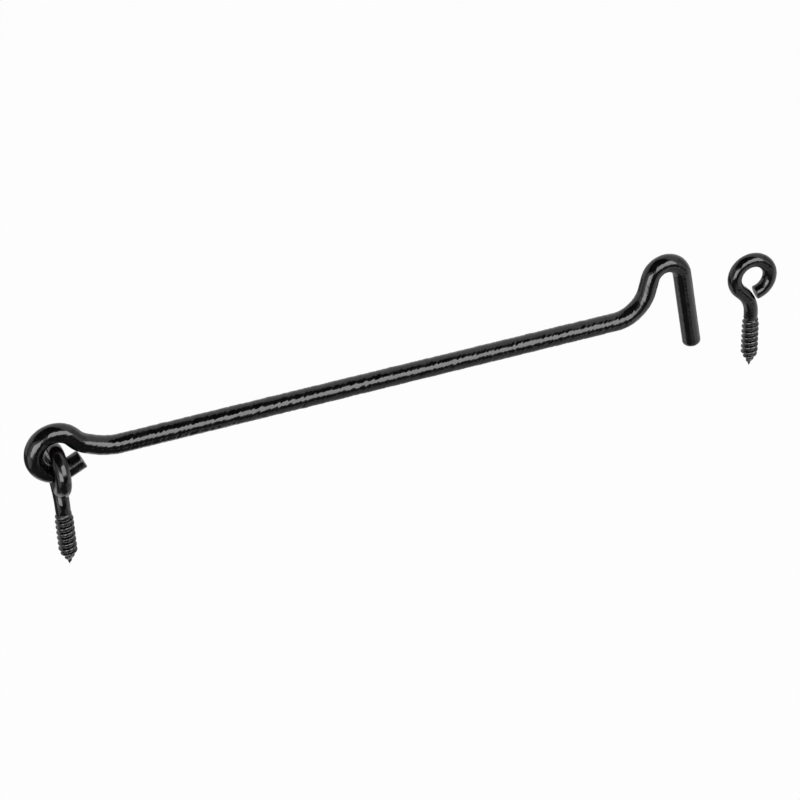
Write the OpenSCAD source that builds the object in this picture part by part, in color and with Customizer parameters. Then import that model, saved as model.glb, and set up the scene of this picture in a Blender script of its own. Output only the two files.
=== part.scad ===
// Gate hook and eye, painted black. It is three bent steel pieces: a long
// hook with an eye at one end, a screw eye linked through that eye, and a
// second screw eye that stands by itself and takes the hook's leg.
// Millimetres, +Z up. The origin is on the anchor screw eye's axis, at the top
// of its thread, where it meets the board. The hook points along +X.

/* [Hook rod] */
// Diameter of the hook's round rod
rod_d = 8.41; // [6.5:0.01:9.5]
// Distance along X from the centre of the hook's eye to the end of its leg
hook_reach = 305; // [200:1:450]

/* [Hook eye] */
// Diameter of the hole in the hook's eye
hook_eye_d = 11.1; // [10:0.1:16]
// Bend radius where the rod leaves the eye, at the rod's centreline
neck_r = 13; // [10:0.5:24]
// How steeply the neck runs down from the eye to the shank, in degrees
neck_slope = 24; // [12:1:34]
// Length of the straight run of the neck
neck_len = 3.5; // [2:0.5:14]
// Bend radius where the neck levels out into the shank
heel_r = 30; // [6:0.5:36]
// Arc of the eye from the neck to the start of its tail, in degrees
hook_eye_arc = 258; // [235:1:265]
// Length of the straight tail that closes the eye
tail_len = 7.5; // [3:0.1:9.2]

/* [Hook point] */
// Bend radius from the shank to the riser
bend_r = 17; // [8:0.5:24]
// Angle of the riser above the shank, in degrees
riser_angle = 76; // [60:1:86]
// Length of the straight riser
riser_len = 5.2; // [3:0.1:20]
// Bend radius of the crook over the top, at the rod's centreline
crook_r = 8.4; // [6.5:0.1:14]
// How far the leg leans out from upright, in degrees
leg_lean = 9; // [0:1:14]
// Length of the straight leg, with its rounded end
leg_len = 39; // [20:0.5:60]
// Radius that rounds the edge of the leg's end
tip_round = 2; // [0.5:0.1:3]

/* [Screw eyes] */
// Diameter of the wire that the screw eyes are bent from
wire_d = 6.67; // [5:0.01:7.5]
// Diameter of the hole in a screw eye
eye_d = 11.4; // [10.5:0.1:16]
// Bend radius where the stem turns out into the eye
stem_bend_r = 15.2; // [5:0.1:18]
// Arc of a screw eye from its stem to its cut end, in degrees
eye_arc = 302; // [290:1:320]
// Height of a screw eye's centre above the top of its thread
eye_height = 24; // [22:0.5:40]
// Straight wire at the cut end of a screw eye
eye_cut_len = 1; // [1:0.1:3]

/* [Wire] */
// Short straight between the ring of an eye and the bend of its stem or neck
eye_straight = 0.6; // [0.3:0.1:2]
// Chamfer on the cut ends of the eyes
cut_chamfer = 0.5; // [0.2:0.1:1]

/* [Thread] */
// Diameter over the crests of the thread
thread_d = 8.2; // [7.2:0.1:9]
// Diameter at the roots of the thread
root_d = 6; // [4:0.1:6.4]
// Distance from one crest to the next
thread_pitch = 2.75; // [2:0.05:3.5]
// Width of the flat on each crest
crest_w = 0.4; // [0.2:0.05:0.6]
// Width of the flat at each root
root_w = 0.8; // [0.3:0.05:1]
// Length of the thread from its top to the point
thread_len = 24.6; // [15:0.1:45]
// Length of the tapered point at the thread's end
point_len = 7.3; // [3:0.1:9]

/* [Setting out] */
// Gap where the hook's eye rests in the anchor's eye
link_gap = 0.3; // [0.2:0.05:0.6]
// How far the hook's eye is drawn out from the anchor's axis
hook_pull = 0.2; // [0:0.1:2]
// Distance along X from the end of the leg to the strike's axis
strike_gap = 42.2; // [20:0.1:80]
// Distance of the strike's axis behind the hook
strike_back = 18.9; // [-30:0.1:30]
// How far the strike is turned on its own axis, in degrees
strike_turned = -5; // [-180:1:180]

/* [Hidden] */
$fn = 64;
paint = [0.07, 0.07, 0.075];

// Centreline radii of the two kinds of eye
hook_eye_r = (hook_eye_d + rod_d) / 2;
eye_r = (eye_d + wire_d) / 2;

// A bend swells by this much, and the straights on each side reach into it by
// the lap, so that pieces of wire join at a clean step.
swell = 0.02;
lap = 0.1;

// An eye is centred on its stem. The stem bends out, runs straight for a
// short way, and turns back round the ring. These give the turn of the stem's
// bend, and the distance from its start to the ring's centre.
function bend_turn(ring_r, r, straight) =
    acos(r / sqrt(pow(ring_r + r, 2) + straight * straight))
    - atan2(straight, ring_r + r);
function bend_rise(ring_r, r, straight) =
    let (turn = bend_turn(ring_r, r, straight))
    (ring_r + r) * sin(turn) + straight * cos(turn);

// The hook's neck leaves its eye at this angle above the eye's centre
neck_at = 90 - bend_turn(hook_eye_r, neck_r, eye_straight);
neck_turn = 90 - neck_at - neck_slope;

// Runs along X of the stretches of the hook, from the eye's centre
neck_run = hook_eye_r * cos(neck_at)
    + eye_straight * sin(neck_at)
    + neck_r * (cos(neck_at) - sin(neck_slope))
    + neck_len * cos(neck_slope)
    + heel_r * sin(neck_slope);
riser_run = bend_r * sin(riser_angle) + riser_len * cos(riser_angle);
crook_run = crook_r * (sin(riser_angle) + cos(leg_lean));
leg_run = leg_len * sin(leg_lean);
shank_len = hook_reach - neck_run - riser_run - crook_run - leg_run;

// The hook drops until its eye rests in the anchor's hole, or hangs on the
// anchor's wire, whichever comes first.
slack = (hook_eye_d - wire_d) / 2 - link_gap;
rest_drop = eye_d + wire_d / 2 - link_gap - rod_d - hook_eye_d / 2;
hang_drop = sqrt(slack * slack - hook_pull * hook_pull);
hook_eye_z = eye_height + eye_r - min(rest_drop, hang_drop);

// Place of the strike
strike_x = hook_pull + hook_reach + strike_gap;

// Radius of the thread at depth z below its top, for a full radius r
flank = (thread_pitch - crest_w - root_w) / 2;
function tapered(r, z) = r * min(1, (thread_len - z) / point_len);

// Half outline of one ridge of the thread whose crest starts at depth z
function ridge(z) = [
    [tapered(thread_d / 2, z), -z],
    [tapered(thread_d / 2, z + crest_w), -z - crest_w],
    [tapered(root_d / 2, z + crest_w + flank), -z - crest_w - flank],
    [tapered(root_d / 2, z + thread_pitch - flank), -z - thread_pitch + flank]
];
ridge_count = floor((thread_len + flank) / thread_pitch);

// Straight wire from the origin along +X
module straight(d, length) {
    translate([-lap, 0, 0])
        rotate([0, 90, 0]) cylinder(h = length + 2 * lap, d = d);
}

// Bent wire from the origin, heading +X. A positive turn goes left, to +Y.
module bend(d, r, turn) {
    side = turn > 0 ? 1 : -1;
    first = turn > 0 ? -90 : 90 + turn;
    translate([0, side * r, 0])
        rotate([0, 0, first])
            rotate_extrude(angle = abs(turn))
                translate([r, 0]) circle(d = d + 2 * swell);
}

// Children placed where such a bend ends, heading on along it
module after_bend(r, turn) {
    side = turn > 0 ? 1 : -1;
    translate([0, side * r, 0])
        rotate([0, 0, turn])
            translate([0, -side * r, 0]) children();
}

// Wire along a path, heading +X at its start, with the children at its end.
// Each step is a straight, [length], or a bend, [radius, turn].
module wire(d, path, i = 0) {
    if (i == len(path)) {
        children();
    } else if (len(path[i]) == 1) {
        straight(d, path[i][0]);
        translate([path[i][0], 0, 0]) wire(d, path, i + 1) children();
    } else {
        bend(d, path[i][0], path[i][1]);
        after_bend(path[i][0], path[i][1]) wire(d, path, i + 1) children();
    }
}

// Last straight of a wire that is sheared square, with its edge chamfered
module cut_end(d, length) {
    rotate([0, 90, 0])
        rotate_extrude()
            polygon([
                [0, -lap],
                [d / 2, -lap],
                [d / 2, length - cut_chamfer],
                [d / 2 - cut_chamfer, length],
                [0, length]
            ]);
}

// Last straight of a wire whose edge is rounded over
module round_end(d, length) {
    rotate([0, 90, 0])
        rotate_extrude() {
            translate([0, -lap]) square([d / 2, length - tip_round + lap]);
            translate([0, length - tip_round]) {
                square([d / 2 - tip_round, tip_round]);
                translate([d / 2 - tip_round, 0])
                    intersection() {
                        circle(r = tip_round);
                        square(tip_round);
                    }
            }
        }
}

// The thread's ridges are level here, at the thread's true pitch and depth.
// The plain stem above them is part of the same turned shape.
module threaded_stem(stem_len) {
    rotate_extrude()
        polygon(concat(
            [[0, stem_len + lap], [wire_d / 2, stem_len + lap], [wire_d / 2, flank]],
            [for (i = [0 : ridge_count - 1]) each ridge(i * thread_pitch)],
            [[0, -thread_len]]
        ));
}

// Screw eye in the XZ plane, its thread's top at the origin
module screw_eye() {
    stem_turn = bend_turn(eye_r, stem_bend_r, eye_straight);
    stem_len = eye_height - bend_rise(eye_r, stem_bend_r, eye_straight);
    threaded_stem(stem_len);
    rotate([90, 0, 0])
        translate([0, stem_len, 0])
            rotate([0, 0, 90])
                wire(wire_d, [
                    [stem_bend_r, stem_turn],
                    [eye_straight],
                    [eye_r, -eye_arc]
                ]) cut_end(wire_d, eye_cut_len);
}

// Children placed where the neck leaves the hook's eye, heading round it
module at_neck() {
    rotate([0, 0, neck_at])
        translate([hook_eye_r, 0, 0])
            rotate([0, 0, 90]) children();
}

// The hook in the XY plane, the centre of its eye at the origin
module bent_hook() {
    at_neck()
        wire(rod_d, [[hook_eye_r, hook_eye_arc]]) cut_end(rod_d, tail_len);
    at_neck()
        rotate([0, 0, 180])
            wire(rod_d, [
                [eye_straight],
                [neck_r, neck_turn],
                [neck_len],
                [heel_r, neck_slope],
                [shank_len],
                [bend_r, riser_angle],
                [riser_len],
                [crook_r, leg_lean - 90 - riser_angle]
            ]) round_end(rod_d, leg_len);
}

// The screw eye that holds the hook, its eye turned across the hook's plane
module anchor_screw_eye() {
    color(paint)
        rotate([0, 0, -90]) screw_eye();
}

// The hook, its eye linked through the anchor's eye
module hook() {
    color(paint)
        translate([hook_pull, 0, hook_eye_z])
            rotate([90, 0, 0]) bent_hook();
}

// The screw eye that takes the hook's leg
module strike_screw_eye() {
    color(paint)
        translate([strike_x, strike_back, 0])
            rotate([0, 0, strike_turned]) screw_eye();
}

anchor_screw_eye();
hook();
strike_screw_eye();
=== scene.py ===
# %% [markdown]
# # A black gate hook and its two screw eyes
#
# A gate hook holds a gate or a door open. The real thing is three pieces of round steel under
# black gloss paint: a long hook, the screw eye that it hangs from, and a second screw eye that
# takes its leg. Each piece is one length of wire that was cut, bent and, on the screw eyes,
# threaded. This lesson builds each piece the same way, as one bent wire with a skin, around a
# plain CAD model that says where everything is. Lengths are in metres, with Z up.

# %% Load the frame
import math

import bmesh
import bpy
from mathutils import Matrix, Vector, noise


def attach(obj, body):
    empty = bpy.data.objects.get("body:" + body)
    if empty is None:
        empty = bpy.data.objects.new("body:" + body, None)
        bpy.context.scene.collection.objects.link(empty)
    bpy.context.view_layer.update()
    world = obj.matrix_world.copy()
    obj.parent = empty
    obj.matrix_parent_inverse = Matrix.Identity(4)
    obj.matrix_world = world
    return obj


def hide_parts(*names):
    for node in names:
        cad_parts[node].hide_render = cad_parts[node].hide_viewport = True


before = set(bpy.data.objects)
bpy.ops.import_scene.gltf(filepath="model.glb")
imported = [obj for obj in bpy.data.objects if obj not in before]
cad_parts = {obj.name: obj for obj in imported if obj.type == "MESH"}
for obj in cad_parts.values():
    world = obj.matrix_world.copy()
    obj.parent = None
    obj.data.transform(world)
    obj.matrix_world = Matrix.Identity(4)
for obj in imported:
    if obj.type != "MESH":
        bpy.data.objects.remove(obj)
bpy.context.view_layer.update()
print("CAD nodes:", sorted(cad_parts))

# %% [markdown]
# ## Sizes
#
# A wire is described as its maker would describe it: how thick it is, how long each straight is,
# and how tight and how far each bend goes. The numbers are those of the CAD model, so the pieces
# land on it. A bend's radius is that of its centreline, and arcs, slopes and leans are in degrees.
# The hook is No. 2/0 steel wire and the screw eyes are No. 2.

# %% Sizes that all three pieces share
MM = 0.001
EYE_STRAIGHT = 0.6 * MM
CUT_EDGE = 0.5 * MM
print(f"a cut end's edge is rounded over {CUT_EDGE / MM:.1f} mm")

# %% Sizes of the hook
ROD_R = 8.41 / 2 * MM
HOOK_REACH = 305 * MM
HOOK_EYE_R = (11.1 + 8.41) / 2 * MM
HOOK_EYE_ARC = 258
TAIL_LEN = 7.5 * MM
NECK_R = 13 * MM
NECK_SLOPE = 24
NECK_LEN = 3.5 * MM
HEEL_R = 30 * MM
BEND_R = 17 * MM
RISER_ANGLE = 76
RISER_LEN = 5.2 * MM
CROOK_R = 8.4 * MM
LEG_LEAN = 9
LEG_LEN = 39 * MM
TIP_ROUND = 2 * MM
print(f"hook: {2 * ROD_R / MM:.2f} mm rod, {HOOK_REACH / MM:.0f} mm from its eye to its leg's end")

# %% Sizes of a screw eye
WIRE_R = 6.67 / 2 * MM
EYE_R = (11.4 + 6.67) / 2 * MM
EYE_ARC = 302
EYE_HEIGHT = 24 * MM
EYE_CUT_LEN = 1 * MM
STEM_BEND_R = 15.2 * MM
print(f"screw eye: {2 * WIRE_R / MM:.2f} mm wire, {2 * (EYE_R - WIRE_R) / MM:.1f} mm hole")

# %% Sizes of its thread
CREST_R = 8.2 / 2 * MM
ROOT_R = 6 / 2 * MM
PITCH = 2.75 * MM
CREST_W = 0.4 * MM
ROOT_W = 0.8 * MM
THREAD_LEN = 24.6 * MM
POINT_LEN = 7.3 * MM
print(f"thread: {THREAD_LEN / MM:.1f} mm long, with a point of {POINT_LEN / MM:.1f} mm")

# %% Where the pieces stand
HOOK_PULL = 0.2 * MM
HOOK_EYE_Z = 32.56 * MM
STRIKE_X = HOOK_PULL + HOOK_REACH + 42.2 * MM
STRIKE_Y = 18.9 * MM
STRIKE_TURNED = math.radians(-5)
print(f"the strike stands {STRIKE_X / MM:.1f} mm along from the anchor, {STRIKE_Y / MM:.1f} mm back")


# %% How a stem bends out into its ring
def eye_turn(ring_r, bend_r):
    """Degrees that a stem bends out by, before the wire turns back round a centred ring."""
    reach = ring_r + bend_r
    bent = math.acos(bend_r / math.hypot(reach, EYE_STRAIGHT))
    return math.degrees(bent - math.atan2(EYE_STRAIGHT, reach))


def eye_rise(ring_r, bend_r):
    """Height from the start of that bend to the ring's centre."""
    turn = math.radians(eye_turn(ring_r, bend_r))
    return (ring_r + bend_r) * math.sin(turn) + EYE_STRAIGHT * math.cos(turn)


STEM_TURN = eye_turn(EYE_R, STEM_BEND_R)
STEM_LEN = EYE_HEIGHT - eye_rise(EYE_R, STEM_BEND_R)
print(f"a screw eye's stem is {STEM_LEN / MM:.2f} mm long and bends out by {STEM_TURN:.1f} degrees")

# %% [markdown]
# ## A wire's centreline
#
# The line down the middle of a bent wire lies in one flat plane. It could be drawn by hand as a
# Bezier curve, but a bend in steel has one true radius, and a hand-drawn curve has many. So the
# line is walked instead: each step is a straight, or a bend of a given radius and turn. The
# walk leaves a station every fraction of a millimetre, and a skin will hang on those stations.
# A wire that is bent round a former eases into its bend over a millimetre or two, so the
# stations are evened out a little afterwards.


# %% Walk along a wire
def walk(x, y, heading, steps, spacing=0.3 * MM):
    """Stations (x, y, heading) along straights (length,) and bends (radius, degrees)."""
    stations = [(x, y, heading)]
    for step in steps:
        turn = math.radians(step[1]) if len(step) == 2 else 0
        length = abs(turn) * step[0] if turn else step[0]
        count = max(2, round(length / spacing))
        half = turn / count / 2
        chord = 2 * step[0] * math.sin(abs(half)) if turn else length / count
        for _ in range(count):
            x += chord * math.cos(heading + half)
            y += chord * math.sin(heading + half)
            heading += 2 * half
            stations.append((x, y, heading))
    return stations


def turned_round(stations):
    """The same walk from its far end."""
    return [(x, y, heading + math.pi) for x, y, heading in reversed(stations)]


def eased(stations, reach=4):
    """Each station moved to the mean of its neighbours, so that bends start gently."""
    out = []
    for i in range(len(stations)):
        near = min(reach, i, len(stations) - 1 - i)
        group = stations[i - near:i + near + 1]
        out.append(tuple(sum(s[k] for s in group) / len(group) for k in range(3)))
    return out


quarter = walk(0, 0, 0, [(10 * MM, 90)])
print(f"a quarter bend of 10 mm radius has {len(quarter)} stations")

# %% [markdown]
# ## The hook's line
#
# The hook starts at the cut end of its tail, goes round its eye, down the neck, along the shank,
# up the riser, over the crook and down the leg. The walk starts where the neck leaves the eye,
# because that point is known, and goes both ways from there. The shank takes whatever length
# is left of the hook's reach.


# %% What is left for the shank
def cosine(degrees):
    return math.cos(math.radians(degrees))


def sine(degrees):
    return math.sin(math.radians(degrees))


neck_at = 90 - eye_turn(HOOK_EYE_R, NECK_R)
neck_turn = 90 - neck_at - NECK_SLOPE
neck_run = (
    HOOK_EYE_R * cosine(neck_at)
    + EYE_STRAIGHT * sine(neck_at)
    + NECK_R * (cosine(neck_at) - sine(NECK_SLOPE))
    + NECK_LEN * cosine(NECK_SLOPE)
    + HEEL_R * sine(NECK_SLOPE)
)
riser_run = BEND_R * sine(RISER_ANGLE) + RISER_LEN * cosine(RISER_ANGLE)
crook_run = CROOK_R * (sine(RISER_ANGLE) + cosine(LEG_LEAN))
leg_run = LEG_LEN * sine(LEG_LEAN)
shank_len = HOOK_REACH - neck_run - riser_run - crook_run - leg_run
print(f"the shank is {shank_len / MM:.1f} mm long")

# %% Walk the hook both ways from its neck
neck_start = (HOOK_EYE_R * cosine(neck_at), HOOK_EYE_R * sine(neck_at))
round_eye = walk(
    *neck_start, math.radians(neck_at + 90), [(HOOK_EYE_R, HOOK_EYE_ARC), (TAIL_LEN,)]
)
to_leg = walk(*neck_start, math.radians(neck_at - 90), [
    (EYE_STRAIGHT,),
    (NECK_R, neck_turn),
    (NECK_LEN,),
    (HEEL_R, NECK_SLOPE),
    (shank_len,),
    (BEND_R, RISER_ANGLE),
    (RISER_LEN,),
    (CROOK_R, LEG_LEAN - 90 - RISER_ANGLE),
    (LEG_LEN,),
])
# The walk back round the eye ends where the walk to the leg starts, a whole turn apart in heading.
back_round_eye = [
    (x, y, heading - 2 * math.pi) for x, y, heading in turned_round(round_eye)
]
hook_line = back_round_eye[:-1] + to_leg
print(f"the hook has {len(hook_line)} stations")

# %% [markdown]
# ## A wire's skin
#
# A skin can come from a curve with a round bevel, but then a thread, a sheared end and the
# slight waviness of the paint have nowhere to go. So each station carries a ring of points, and
# each ring is joined to the next with quads. A ring's radius may differ from point to point,
# which is all that a thread needs. Each point also keeps a number called bare, which says how
# far the paint has worn off it. The paint's material reads that number later.


# %% Rings along a wire
def rings_along(stations, radius):
    """One ring for each station: place, heading, distance from the start, and radius."""
    rings = []
    done = 0
    for i, (x, y, heading) in enumerate(stations):
        if i:
            done += math.hypot(x - stations[i - 1][0], y - stations[i - 1][1])
        rings.append((x, y, heading, done, radius))
    return rings


rod_length = rings_along(hook_line, ROD_R)[-1][3]
print(f"the hook is bent from {rod_length / MM:.0f} mm of rod")


# %% Skin a wire
def skin(name, rings, place, radius_at, bare_at, sides=56):
    """A mesh over the rings. place puts a point of the wire's plane into the frame."""
    mesh = bmesh.new()
    bare = mesh.verts.layers.float.new("bare")
    rows = []
    for x, y, heading, done, radius in rings:
        row = []
        for k in range(sides):
            around = 2 * math.pi * k / sides
            r = radius_at(done, around, radius)
            side = r * math.cos(around)
            point = mesh.verts.new(place(
                x - side * math.sin(heading),
                y + side * math.cos(heading),
                r * math.sin(around),
            ))
            point[bare] = bare_at(done, around, radius)
            row.append(point)
        rows.append(row)
    for low, high in zip(rows, rows[1:]):
        for k in range(sides):
            j = (k + 1) % sides
            mesh.faces.new((low[k], low[j], high[j], high[k]))
    for ring, row in ((rings[0], rows[0]), (rings[-1], rows[-1])):
        middle = mesh.verts.new(place(ring[0], ring[1], 0))
        for k in range(sides):
            mesh.faces.new((row[k], row[(k + 1) % sides], middle))
    bmesh.ops.recalc_face_normals(mesh, faces=mesh.faces)
    for face in mesh.faces:
        face.smooth = True
    data = bpy.data.meshes.new(name)
    mesh.to_mesh(data)
    mesh.free()
    piece = bpy.data.objects.new(name, data)
    bpy.context.scene.collection.objects.link(piece)
    print(f"{name}: {len(data.vertices)} points, {len(data.polygons)} faces")
    return piece


# %% [markdown]
# ## Cut ends
#
# The wire is sheared to length, and the shear leaves a flat face with a crisp edge. A disc could
# cap the tube, but a knife-sharp edge never catches the light. So the last rings shrink along a
# quarter circle, which rounds the edge, and then shrink on the spot, which closes the face. That
# edge is where the paint is thinnest and wears through first.


# %% Close a cut end
# The rings that close a face are these shares of its size.
FACE_RINGS = (0.8, 0.55, 0.28)
# The wear is deepest at this share of the way over the edge.
MOST_WORN = 0.6


def closed_end(ring, radius, edge, outward, steps=5):
    """Rings that round the edge of a cut end over and close its face."""
    x, y, heading, done, _ = ring
    rings = []
    for i in range(1, steps + 1):
        angle = math.radians(90) * i / steps
        on = outward * (edge * math.sin(angle) - edge)
        rings.append((
            x + on * math.cos(heading),
            y + on * math.sin(heading),
            heading,
            done + on,
            radius - edge + edge * math.cos(angle),
        ))
    for share in FACE_RINGS:
        rings.append((x, y, heading, done, (radius - edge) * share))
    return rings


def without_edge(rings, edge, outward):
    """The rings that stand clear of a rounded edge at one end."""
    end = rings[-1][3] if outward > 0 else rings[0][3]
    clear = 1.02 * edge
    return [ring for ring in rings if abs(ring[3] - end) > clear]


def rim_wear(radius, wire_radius, edge):
    """1 on the rounded edge of a cut end, and 0 on the wire and on the middle of the face."""
    inward = (wire_radius - radius) / edge
    return max(0, 1 - abs(inward - MOST_WORN) / MOST_WORN)


halfway = rim_wear(WIRE_R - CUT_EDGE / 2, WIRE_R, CUT_EDGE)
print(f"halfway over its edge, a cut end is worn by {halfway:.2f}")

# %% [markdown]
# ## Waves in the paint
#
# The light on the real shank isn't one clean line. It breaks into short slanted strokes a couple
# of millimetres apart, because thick paint that was dipped or sprayed on round rod settles in low
# waves. A bump in the material could do it, but would be lost where the model is exported. So the
# waves are in the mesh, a few hundredths of a millimetre high. Two noises make them: slanted
# strokes, and broader lumps that make the strokes come and go. The coat itself stands a little
# proud of the wire. On the tight bends and the screw eyes the paint lies smoother, so the waves are
# lower there.


# %% Waves that thick paint leaves
COAT = 0.05 * MM
WAVE_HEIGHT = 0.12 * MM
LOW_WAVES = 0.05 * MM
STROKE_LEN = 1.2 * MM
STROKES_ROUND = 1.2
STROKE_SLANT = 3.2
LUMP_LEN = 4 * MM
LUMP_SHARE = 0.8
# The strokes slant most at this angle round the wire, where the photographed highlights lie.
LIT_SIDE = math.radians(57)
# On rings smaller than this, at the middle of an end face, the coat thins out.
FACE_R = 2.5 * MM


def coat(done, around, radius, wave_height):
    """Height of the paint over the wire, fading to nothing on the small rings of an end face."""
    across = Vector((math.cos(around), math.sin(around), 0))
    slant = STROKE_SLANT * math.sin(around - LIT_SIDE)
    strokes = noise.noise(STROKES_ROUND * across + Vector((0, 0, done / STROKE_LEN + slant)))
    # The 5 and the 7 take the lumps from another part of the noise than the strokes.
    lumps = noise.noise(across + Vector((5, 7, done / LUMP_LEN)))
    return (COAT + wave_height * (strokes + LUMP_SHARE * lumps)) * min(1, radius / FACE_R)


print(f"strokes about {2 * STROKE_LEN / MM:.1f} mm apart, up to {WAVE_HEIGHT / MM:.2f} mm high")

# %% [markdown]
# ## The hook
#
# The hook is bent in one upright plane, so its skin's flat coordinates go straight to X and Z.
# The tail was sheared and keeps a crisp edge under the paint. The leg's end was rounded over in
# a die, so that it finds the strike's eye, and its paint has only begun to rub.


# %% Waves and wear along the hook
WAVES_FADE = 25 * MM
LEG_RUB = 0.3
shank_from = (
    TAIL_LEN
    + HOOK_EYE_R * math.radians(HOOK_EYE_ARC)
    + EYE_STRAIGHT
    + NECK_R * math.radians(neck_turn)
    + NECK_LEN
    + HEEL_R * math.radians(NECK_SLOPE)
)


def hook_waves(done):
    """High all along the shank, and lower beyond its ends."""
    past_end = max(shank_from - done, done - shank_from - shank_len)
    share = max(0, min(1, 1 - past_end / WAVES_FADE))
    return LOW_WAVES + (WAVE_HEIGHT - LOW_WAVES) * share


def hook_radius(done, around, radius):
    return radius + coat(done, around, radius, hook_waves(done))


def hook_bare(done, around, radius):
    if done < TAIL_LEN:
        return rim_wear(radius, ROD_R, CUT_EDGE)
    return LEG_RUB * rim_wear(radius, ROD_R, TIP_ROUND)


print(f"the shank starts {shank_from / MM:.1f} mm along the rod")


# %% Build the hook
def place_hook(x, y, out):
    return Vector((HOOK_PULL + x, -out, HOOK_EYE_Z + y))


hook_rings = rings_along(eased(hook_line), ROD_R)
tail_ring, leg_ring = hook_rings[0], hook_rings[-1]
hook_rings = without_edge(hook_rings, CUT_EDGE, -1)
hook_rings = without_edge(hook_rings, TIP_ROUND, 1)
hook_rings = (
    list(reversed(closed_end(tail_ring, ROD_R, CUT_EDGE, -1)))
    + hook_rings
    + closed_end(leg_ring, ROD_R, TIP_ROUND, 1, steps=9)
)
gate_hook = skin("gate_hook", hook_rings, place_hook, hook_radius, hook_bare)

# %% [markdown]
# ## The thread
#
# The screw eyes' threads are rolled: the crest stands above the wire and the root is pressed
# below it. A thread is a ridge that climbs by one pitch for each turn. It could be a separate
# spiral that is joined on, but a joined spiral leaves seams. Here the rings of the stem do the
# work: the radius of each point depends on how far along and how far round it is. The thread is
# right-handed, dies away up the stem, and shrinks over the point. Paint is thin on its crests.

# %% Shape of the thread
# The thread starts to show at RUN_OUT above its top, and is whole from WHOLE_FROM below it.
RUN_OUT = 3 * MM
WHOLE_FROM = 1 * MM
POINT_END = 0.03
CREST_TOP = 0.75
CREST_RUB = 0.7


def thread_rise(depth, around):
    """0 at the thread's root and 1 on its crest, at a depth and an angle round the stem."""
    turns = (-depth / PITCH - (around + math.pi) / (2 * math.pi)) % 1
    from_crest = abs(turns - 0.5) * PITCH
    flank = (PITCH - CREST_W - ROOT_W) / 2
    rise = max(0, min(1, (CREST_W / 2 + flank - from_crest) / flank))
    # This rounds the flank off at its top and its foot.
    return rise * rise * (3 - 2 * rise)


def thread_run_in(depth):
    """0 where the stem is plain, and 1 from where the thread is whole."""
    return max(0, min(1, (depth + RUN_OUT) / (RUN_OUT + WHOLE_FROM)))


def thread_radius(depth, around):
    run_in = thread_run_in(depth)
    root = WIRE_R + (ROOT_R - WIRE_R) * run_in
    crest = WIRE_R + (CREST_R - WIRE_R) * run_in
    point = max(POINT_END, min(1, (THREAD_LEN - depth) / POINT_LEN))
    return (root + (crest - root) * thread_rise(depth, around)) * point


def crest_wear(depth, around):
    """How far the paint has worn off a crest, from the height CREST_TOP upwards."""
    over = max(0, thread_rise(depth, around) - CREST_TOP)
    return CREST_RUB * thread_run_in(depth) * over / (1 - CREST_TOP)


print(f"thread: {2 * CREST_R / MM:.1f} mm over {2 * ROOT_R / MM:.1f} mm, pitch {PITCH / MM} mm")

# %% [markdown]
# ## The screw eyes
#
# Both screw eyes are the same product. The wire starts at the point, climbs the thread and the
# stem, bends out, turns back round the ring and stops just short of its own stem. The stations
# are close together over the thread, where the shape changes fast, and further apart above it.


# %% Build the screw eyes
UPWARDS = math.radians(90)
STATIONS_PER_TURN = 16
COAT_FADE = 1 * MM


def screw_eye(name, place):
    """A screw eye in its own plane, its thread's top at 0, 0."""
    threaded = (THREAD_LEN + RUN_OUT,)
    stations = walk(0, -THREAD_LEN, UPWARDS, [threaded], spacing=PITCH / STATIONS_PER_TURN)
    stations += walk(0, RUN_OUT, UPWARDS, [
        (STEM_LEN - RUN_OUT,),
        (STEM_BEND_R, STEM_TURN),
        (EYE_STRAIGHT,),
        (EYE_R, -EYE_ARC),
        (EYE_CUT_LEN,),
    ])[1:]
    rings = rings_along(eased(stations), WIRE_R)
    cut_ring = rings[-1]
    rings = without_edge(rings, CUT_EDGE, 1) + closed_end(cut_ring, WIRE_R, CUT_EDGE, 1)

    def radius_at(done, around, radius):
        depth = THREAD_LEN - done
        if depth > -RUN_OUT:
            return thread_radius(depth, around)
        clear_of_thread = min(1, (-depth - RUN_OUT) / COAT_FADE)
        return radius + clear_of_thread * coat(done, around, radius, LOW_WAVES)

    def bare_at(done, around, radius):
        depth = THREAD_LEN - done
        if depth > -RUN_OUT:
            return crest_wear(depth, around)
        return rim_wear(radius, WIRE_R, CUT_EDGE)

    return skin(name, rings, place, radius_at, bare_at)


def place_anchor(x, y, out):
    return Vector((-out, -x, y))


strike_place = Vector((STRIKE_X, STRIKE_Y, 0))
strike_turn = Matrix.Rotation(STRIKE_TURNED, 3, "Z")


def place_strike(x, y, out):
    return strike_place + strike_turn @ Vector((x, -out, y))


anchor_eye = screw_eye("anchor_eye", place_anchor)
strike_eye = screw_eye("strike_eye", place_strike)

# %% [markdown]
# ## Black gloss paint
#
# The paint is black and glossy, so nearly all that is seen of it is what it mirrors. One black
# with one roughness would look like plastic straight from a mould. Real sprayed paint has a fine
# orange peel, is glossier in some places than in others, and leans a little to brown or to blue
# where it is thin. Three noises give those three things. Where bare says so, the paint is broken
# by a fourth noise and the grey steel shows.

# %% Colours, and how large each irregularity is
BLACK = (0.0015, 0.0015, 0.0022, 1)
THIN_BLACK = (0.006, 0.0042, 0.0036, 1)
STEEL = (0.30, 0.29, 0.28, 1)
TINT_SIZE = 7 * MM
WEAR_SIZE = 0.9 * MM
GLOSS_SIZE = 5 * MM
GLOSSIEST = 0.09
DULLEST = 0.19
PEEL_SIZE = 0.7 * MM
PEEL_HEIGHT = 0.012 * MM
PEEL_STRENGTH = 0.6
print(f"roughness from {GLOSSIEST} to {DULLEST}, orange peel {PEEL_SIZE / MM} mm across")

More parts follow.
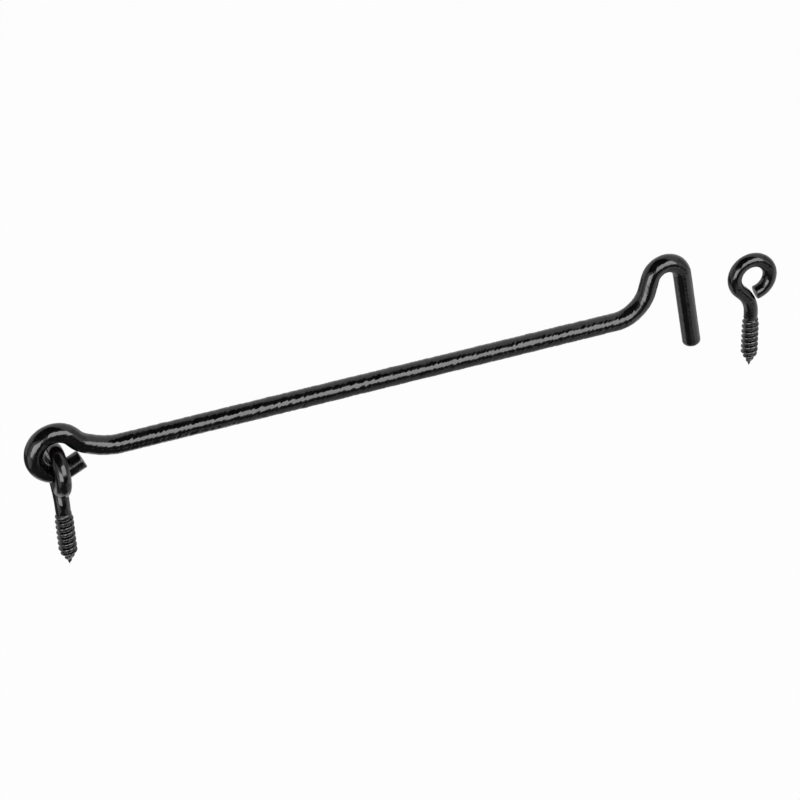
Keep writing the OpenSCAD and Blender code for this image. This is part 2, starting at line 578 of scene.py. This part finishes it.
# %% Black gloss paint
black_paint = bpy.data.materials.new("black_gloss_paint")
black_paint.use_nodes = True
nodes = black_paint.node_tree.nodes
links = black_paint.node_tree.links
gloss = nodes["Principled BSDF"]
gloss.inputs["IOR"].default_value = 1.5
where = nodes.new("ShaderNodeTexCoord")


def paint_noise(size, detail):
    """Noise over the piece, with lumps of about this size."""
    texture = nodes.new("ShaderNodeTexNoise")
    texture.inputs["Scale"].default_value = 1 / size
    texture.inputs["Detail"].default_value = detail
    links.new(where.outputs["Object"], texture.inputs["Vector"])
    return texture.outputs["Fac"]


def spread(value, within, onto=(0, 1)):
    """A noise stretched from one range to another."""
    stretch = nodes.new("ShaderNodeMapRange")
    stretch.inputs["From Min"].default_value, stretch.inputs["From Max"].default_value = within
    stretch.inputs["To Min"].default_value, stretch.inputs["To Max"].default_value = onto
    links.new(value, stretch.inputs["Value"])
    return stretch.outputs["Result"]


def blend(share, first, second):
    """One colour going over into another."""
    mix = nodes.new("ShaderNodeMix")
    mix.data_type = "RGBA"
    links.new(share, mix.inputs["Factor"])
    for value, socket in ((first, mix.inputs["A"]), (second, mix.inputs["B"])):
        if isinstance(value, tuple):
            socket.default_value = value
        else:
            links.new(value, socket)
    return mix.outputs["Result"]


print(f"the paint's index of refraction is {gloss.inputs['IOR'].default_value}")

# %% Worn steel, tint, gloss and orange peel
wear = nodes.new("ShaderNodeAttribute")
wear.attribute_name = "bare"
broken = nodes.new("ShaderNodeMath")
broken.operation = "MULTIPLY"
broken.use_clamp = True
links.new(wear.outputs["Fac"], broken.inputs[0])
links.new(spread(paint_noise(WEAR_SIZE, 2), (0.42, 0.62)), broken.inputs[1])
worn = broken.outputs["Value"]

tint = spread(paint_noise(TINT_SIZE, 3), (0.45, 0.7))
links.new(blend(worn, blend(tint, BLACK, THIN_BLACK), STEEL), gloss.inputs["Base Color"])
links.new(worn, gloss.inputs["Metallic"])
roughness = spread(paint_noise(GLOSS_SIZE, 4), (0.35, 0.65), (GLOSSIEST, DULLEST))
links.new(roughness, gloss.inputs["Roughness"])

peel = nodes.new("ShaderNodeBump")
peel.inputs["Strength"].default_value = PEEL_STRENGTH
peel.inputs["Distance"].default_value = PEEL_HEIGHT
links.new(paint_noise(PEEL_SIZE, 2), peel.inputs["Height"])
links.new(peel.outputs["Normal"], gloss.inputs["Normal"])
painted = (gate_hook, anchor_eye, strike_eye)
for piece in painted:
    piece.data.materials.append(black_paint)
print(f"paint: {len(nodes)} nodes on {len(painted)} pieces")

# %% [markdown]
# ## Tie the pieces to the frame
#
# Each piece stands for one CAD node and rides on that node's body, so it moves with the joint.

# %% Tie the pieces to the frame
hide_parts("anchor_screw_eye")
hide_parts("hook")
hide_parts("strike_screw_eye")
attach(anchor_eye, "anchor")
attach(gate_hook, "hook")
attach(strike_eye, "strike")
for piece in (anchor_eye, gate_hook, strike_eye):
    print(f"{piece.name} is tied to the frame")

# %% [markdown]
# ## A white room
#
# The photograph has nothing behind the set but white. More light would give white too, but would
# wash the paint out. So the floor and the world are told what to do for each kind of ray: to the
# camera, and in anything that mirrors or refracts, they are plain white, and to the light that
# falls on the pieces they are a soft grey. The floor keeps a share of its own shading, so that it
# still takes a shadow.


# %% Helpers for the stage
def seen_directly(tree):
    """A socket that is 1 for camera rays and for rays in a mirror or a glass, and 0 for the rest."""
    path = tree.nodes.new("ShaderNodeLightPath")
    seen = path.outputs["Is Camera Ray"]
    for ray in ("Is Glossy Ray", "Is Transmission Ray"):
        either = tree.nodes.new("ShaderNodeMath")
        either.operation = "MAXIMUM"
        tree.links.new(seen, either.inputs[0])
        tree.links.new(path.outputs[ray], either.inputs[1])
        seen = either.outputs["Value"]
    return seen


def sheet(name, width, height):
    """A flat rectangle that belongs to the stage."""
    mesh = bmesh.new()
    bmesh.ops.create_grid(mesh, x_segments=1, y_segments=1, size=0.5)
    bmesh.ops.scale(mesh, vec=(width, height, 1), verts=mesh.verts)
    data = bpy.data.meshes.new(name)
    mesh.to_mesh(data)
    mesh.free()
    flat = bpy.data.objects.new(name, data)
    bpy.context.scene.collection.objects.link(flat)
    return flat


def bare_material(name):
    """A material with an output and nothing else."""
    material = bpy.data.materials.new(name)
    material.use_nodes = True
    material.node_tree.nodes.clear()
    return material, material.node_tree, material.node_tree.nodes.new("ShaderNodeOutputMaterial")


# %% Floor
FLOOR_SIZE = 12
FLOOR_Z = -0.4
FLOOR_COLOUR = (0.9, 0.9, 0.9, 1)
FLOOR_GLOW = 0.96

floor = sheet("floor", FLOOR_SIZE, FLOOR_SIZE)
floor.location = (0.15, 0, FLOOR_Z)
floor_white, tree, out = bare_material("floor_white")
matt = tree.nodes.new("ShaderNodeBsdfDiffuse")
matt.inputs["Color"].default_value = FLOOR_COLOUR
white = tree.nodes.new("ShaderNodeEmission")
part = tree.nodes.new("ShaderNodeMath")
part.operation = "MULTIPLY"
part.inputs[1].default_value = FLOOR_GLOW
tree.links.new(seen_directly(tree), part.inputs[0])
either = tree.nodes.new("ShaderNodeMixShader")
tree.links.new(part.outputs["Value"], either.inputs["Fac"])
tree.links.new(matt.outputs["BSDF"], either.inputs[1])
tree.links.new(white.outputs["Emission"], either.inputs[2])
tree.links.new(either.outputs["Shader"], out.inputs["Surface"])
floor.data.materials.append(floor_white)
print(f"floor: {FLOOR_SIZE} m wide, {-FLOOR_Z} m below the board's face")

# %% World
WHITE = (1, 1, 1, 1)
ROOM_LIGHT = 0.48

room = bpy.data.worlds.new("white_room")
bpy.context.scene.world = room
room.use_nodes = True
tree = room.node_tree
tree.nodes.clear()
out = tree.nodes.new("ShaderNodeOutputWorld")
walls = tree.nodes.new("ShaderNodeBackground")
walls.inputs["Color"].default_value = WHITE
level = tree.nodes.new("ShaderNodeMapRange")
level.inputs["To Min"].default_value = ROOM_LIGHT
level.inputs["To Max"].default_value = 1
tree.links.new(seen_directly(tree), level.inputs["Value"])
tree.links.new(level.outputs["Result"], walls.inputs["Strength"])
tree.links.new(walls.outputs["Background"], out.inputs["Surface"])
print(f"room: {ROOM_LIGHT} on the pieces, 1 to the camera")

# %% [markdown]
# ## Soft light, and what the gloss mirrors
#
# Gloss paint is lit by its surroundings. The photograph's highlights have square ends and come in
# pairs, which says two softboxes, one on each side of the camera. Between them and round them the
# room was dark, because black bands run along both sides of each highlight. Lamps alone can't give
# those bands in a white room, so black and grey cards follow. The softboxes are there for the gloss
# alone. A plain lamp above lights the pieces, at a level at which any colour would come out as it
# is written.


# %% Directions on the stage
STAGE_MIDDLE = Vector((0.18, 0, 0.03))


def towards(from_front, round_front):
    """Direction at an angle from straight in front (-Y), turned from +X towards +Z."""
    tip = math.sin(math.radians(from_front))
    return Vector((
        tip * math.cos(math.radians(round_front)),
        -math.cos(math.radians(from_front)),
        tip * math.sin(math.radians(round_front)),
    ))


def facing_middle(rig, aim, distance):
    rig.location = STAGE_MIDDLE + aim * distance
    rig.rotation_euler = aim.to_track_quat("Z", "Y").to_euler()


print(f"lamps and cards face a point {STAGE_MIDDLE.x / MM:.0f} mm along the hook")


# %% Lamp and softboxes
def soft_lamp(name, aim, distance, width, height, brightness):
    lamp = bpy.data.lights.new(name, "AREA")
    lamp.shape = "RECTANGLE"
    lamp.size = width
    lamp.size_y = height
    lamp.energy = brightness * width * height * math.pi
    rig = bpy.data.objects.new(name, lamp)
    facing_middle(rig, aim, distance)
    rig.visible_camera = False
    bpy.context.scene.collection.objects.link(rig)
    print(f"{name}: {lamp.energy:.1f} W")
    return rig


# Each line gives a lamp's name, direction, distance, width, height and brightness.
top_lamp = soft_lamp("top_lamp", towards(62, 100), 1.6, 1.3, 1.3, 2.0)
top_lamp.visible_glossy = False
right_softbox = soft_lamp("right_softbox", towards(28, 60), 1.5, 1.55, 1.05, 5.6)
left_softbox = soft_lamp("left_softbox", towards(38, 191), 1.5, 1.15, 1.15, 6.2)
for softbox in (right_softbox, left_softbox):
    softbox.visible_diffuse = False


# %% [markdown]
# ## Cards
#
# A photographer stands cards just outside the picture to choose what a glossy thing mirrors. Here
# a card is a sheet that only the gloss sees. Its level is 0 for black and 1 for the white of the
# room, and the small reflector low on the left is brighter than that. A dark grey card in front
# and a black one above give the dark bands between and beside the highlights. The underside of a
# wire mirrors the floor, and in the photograph it is dark in some places and pale in others. So
# the cards on the floor were laid one by one, each where one stretch of wire mirrors it.


# %% Cards that face the middle of the stage
def card(name, level, width, height):
    """A sheet that only the gloss sees, as bright as its level."""
    flat = sheet(name, width, height)
    flat.visible_camera = False
    flat.visible_diffuse = False
    flat.visible_shadow = False
    cloth, tree, out = bare_material(name)
    glow = tree.nodes.new("ShaderNodeEmission")
    glow.inputs["Strength"].default_value = level
    tree.links.new(glow.outputs["Emission"], out.inputs["Surface"])
    flat.data.materials.append(cloth)
    return flat


# Each line gives a card's name, level, width and height, and its direction and distance.
facing_middle(card("front_card", 0.22, 3.6, 3.0), towards(0, 0), 2.4)
facing_middle(card("top_card", 0.03, 2.6, 2.2), towards(78, 110), 1.35)
facing_middle(card("left_card", 0.4, 0.5, 1.1), towards(92, 176), 1.6)
facing_middle(card("right_card", 0.6, 1.2, 1.2), towards(80, 12), 1.6)
facing_middle(card("low_left_glow", 1.5, 0.55, 0.3), towards(74, 200), 1.05)
print("cards: 5 that face the middle of the stage")

# %% Cards that lie on the floor
ON_FLOOR = FLOOR_Z + 0.01
# Where two cards overlap, the upper one lies a little higher.
ON_A_CARD = ON_FLOOR + 0.005

# Each line gives a card's name, level, width, height, and the place of its middle.
floor_cards = (
    ("low_front_card", 0.08, 3.2, 1.85, (0.2, -1.575, ON_FLOOR)),
    ("low_left_card", 0.1, 0.62, 0.63, (-0.13, -0.33, ON_FLOOR)),
    ("low_right_card", 0.55, 0.35, 0.98, (0.375, -0.175, ON_A_CARD)),
    ("low_far_card", 1.05, 1.05, 1.075, (1.075, -0.2225, ON_A_CARD)),
    ("low_back_card", 0.5, 3.2, 2.4, (0.2, 1.53, ON_FLOOR)),
    ("low_back_left_card", 0.12, 1.3, 1.8, (-0.87, 0.9, ON_A_CARD)),
)
for name, glow_level, width, height, place in floor_cards:
    card(name, glow_level, width, height).location = place
print(f"cards: {len(floor_cards)} on the floor")

# %% [markdown]
# ## The camera
#
# The camera stands where the photographer's stood. Its direction, tilt and distance were found
# by laying the model's outline over the photograph until both met. It aims at a point on the
# hook, moved a little across and down to frame the set as the photograph does.

# %% Camera
AZIMUTH, ELEVATION, ROLL = (math.radians(angle) for angle in (-21.206, 31.297, -2.542))
DISTANCE = 1.09682
AIM = Vector((0.150, 0, 0.033))
ACROSS, DOWN = 0.007778, 0.012205

back = Vector((
    math.sin(AZIMUTH) * math.cos(ELEVATION),
    -math.cos(AZIMUTH) * math.cos(ELEVATION),
    math.sin(ELEVATION),
))
level_right = Vector((math.cos(AZIMUTH), math.sin(AZIMUTH), 0))
level_up = back.cross(level_right)
right = math.cos(ROLL) * level_right + math.sin(ROLL) * level_up
up = math.cos(ROLL) * level_up - math.sin(ROLL) * level_right

lens = bpy.data.cameras.new("camera")
lens.lens = 111.392
lens.sensor_width = 36
camera = bpy.data.objects.new("camera", lens)
camera.rotation_euler = Matrix((right, up, back)).transposed().to_euler()
camera.location = AIM + ACROSS * right - DOWN * up + DISTANCE * back
bpy.context.scene.collection.objects.link(camera)
bpy.context.scene.camera = camera
bpy.context.scene.view_settings.view_transform = "Standard"
print(f"camera: {lens.lens:.1f} mm lens at {DISTANCE:.2f} m")
